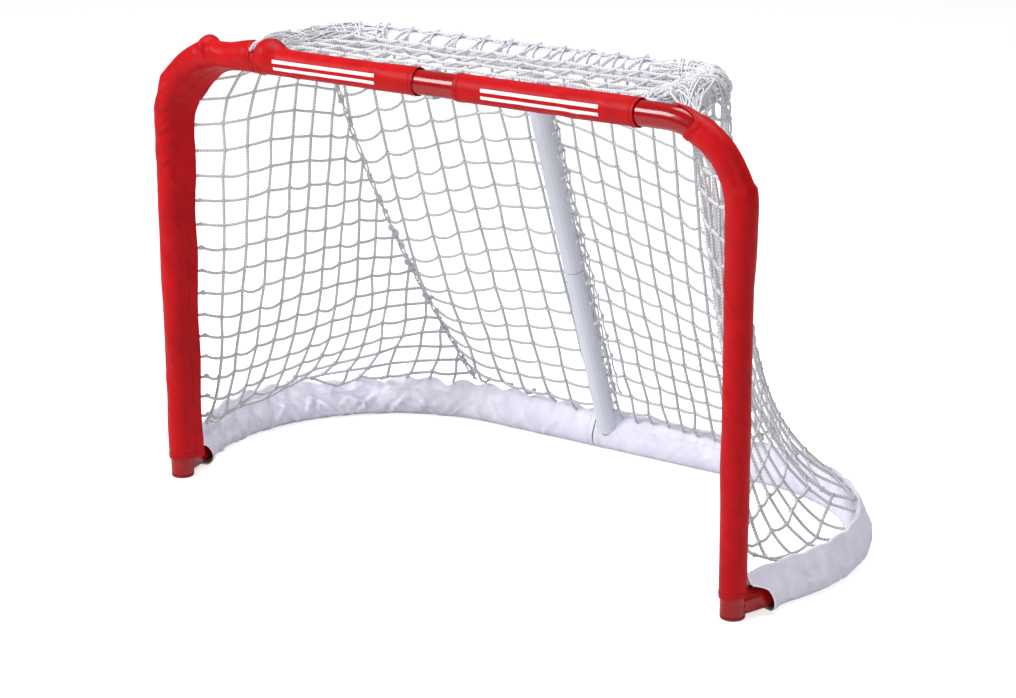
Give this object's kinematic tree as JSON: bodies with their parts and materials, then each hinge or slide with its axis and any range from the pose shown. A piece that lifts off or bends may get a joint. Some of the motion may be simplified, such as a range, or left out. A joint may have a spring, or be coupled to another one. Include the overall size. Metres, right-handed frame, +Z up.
{
  "type": "hockey goal",
  "caption": "Small hockey goal with a bent steel tube frame, a top shelf, a rear strut, fabric covers and skirts, a knotted net and push-fit joints with snap buttons.",
  "frame": {"origin": "on the floor, in the middle of the goal's box", "axes": "+Z up, the mouth faces -Y, +X to the right of someone who looks into the mouth"},
  "size_m": [0.989, 0.46, 0.61],
  "materials": {
    "red_paint": "gloss red powder coat",
    "white_paint": "gloss white powder coat",
    "grey_paint": "satin pale grey powder coat",
    "red_cap": "moulded, satin",
    "red_fabric": "coated woven fabric",
    "white_fabric": "coated woven fabric",
    "net_cord": "knotted polyester cord",
    "plated_steel": "zinc plated",
    "spring_steel": "blued spring steel"
  },
  "bodies": {
    "goal": {"left_front_tube": "red_paint", "right_front_tube": "red_paint", "left_foot_cap": "red_cap", "right_foot_cap": "red_cap", "left_foot_socket": "red_paint", "right_foot_socket": "red_paint", "left_base_tube": "white_paint", "right_base_tube": "white_paint", "shelf_tube": "white_paint", "strut_upper_tube": "grey_paint", "strut_lower_tube": "grey_paint", "left_shelf_spigot": "red_paint", "right_shelf_spigot": "red_paint", "base_spigot": "white_paint", "shelf_spigot": "white_paint", "crossbar_button_spring": "spring_steel", "base_button_spring": "spring_steel", "strut_button_spring": "spring_steel", "left_foot_button_spring": "spring_steel", "right_foot_button_spring": "spring_steel", "left_shelf_button_spring": "spring_steel", "right_shelf_button_spring": "spring_steel", "left_post_sleeve": "red_fabric", "right_post_sleeve": "red_fabric", "left_crossbar_sleeve": "red_fabric", "right_crossbar_sleeve": "red_fabric", "left_skirt": "white_fabric", "right_skirt": "white_fabric", "rear_net": "net_cord", "top_net": "net_cord", "left_side_net": "net_cord", "right_side_net": "net_cord", "left_corner_lacing": "net_cord", "right_corner_lacing": "net_cord", "strut_lacing": "net_cord"},
    "crossbar_button": {"crossbar_button": "plated_steel"},
    "base_button": {"base_button": "plated_steel"},
    "strut_button": {"strut_button": "plated_steel"},
    "left_foot_button": {"left_foot_button": "plated_steel"},
    "right_foot_button": {"right_foot_button": "plated_steel"},
    "left_shelf_button": {"left_shelf_button": "plated_steel"},
    "right_shelf_button": {"right_shelf_button": "plated_steel"}
  },
  "joints": [
    {"name": "crossbar_button_press", "type": "slide", "parent": "goal", "child": "crossbar_button", "axis": [0, 0, -1], "range_m": [-0.0045, 0], "stiffness_N_per_m": 900, "springref_m": 0.001, "deforming": ["crossbar_button_spring"]},
    {"name": "base_button_press", "type": "slide", "parent": "goal", "child": "base_button", "axis": [0, 0, 1], "range_m": [-0.0045, 0], "stiffness_N_per_m": 900, "springref_m": 0.001, "deforming": ["base_button_spring"]},
    {"name": "strut_button_press", "type": "slide", "parent": "goal", "child": "strut_button", "axis": [-0.9995, -0.0116, 0.0303], "range_m": [-0.0045, 0], "stiffness_N_per_m": 900, "springref_m": 0.001, "deforming": ["strut_button_spring"]},
    {"name": "left_foot_button_press", "type": "slide", "parent": "goal", "child": "left_foot_button", "axis": [0, 0, 1], "range_m": [-0.0045, 0], "stiffness_N_per_m": 900, "springref_m": 0.001, "deforming": ["left_foot_button_spring"]},
    {"name": "right_foot_button_press", "type": "slide", "parent": "goal", "child": "right_foot_button", "axis": [0, 0, 1], "range_m": [-0.0045, 0], "stiffness_N_per_m": 900, "springref_m": 0.001, "deforming": ["right_foot_button_spring"]},
    {"name": "left_shelf_button_press", "type": "slide", "parent": "goal", "child": "left_shelf_button", "axis": [0, 0, -1], "range_m": [-0.0045, 0], "stiffness_N_per_m": 900, "springref_m": 0.001, "deforming": ["left_shelf_button_spring"]},
    {"name": "right_shelf_button_press", "type": "slide", "parent": "goal", "child": "right_shelf_button", "axis": [0, 0, -1], "range_m": [-0.0045, 0], "stiffness_N_per_m": 900, "springref_m": 0.001, "deforming": ["right_shelf_button_spring"]}
  ]
}
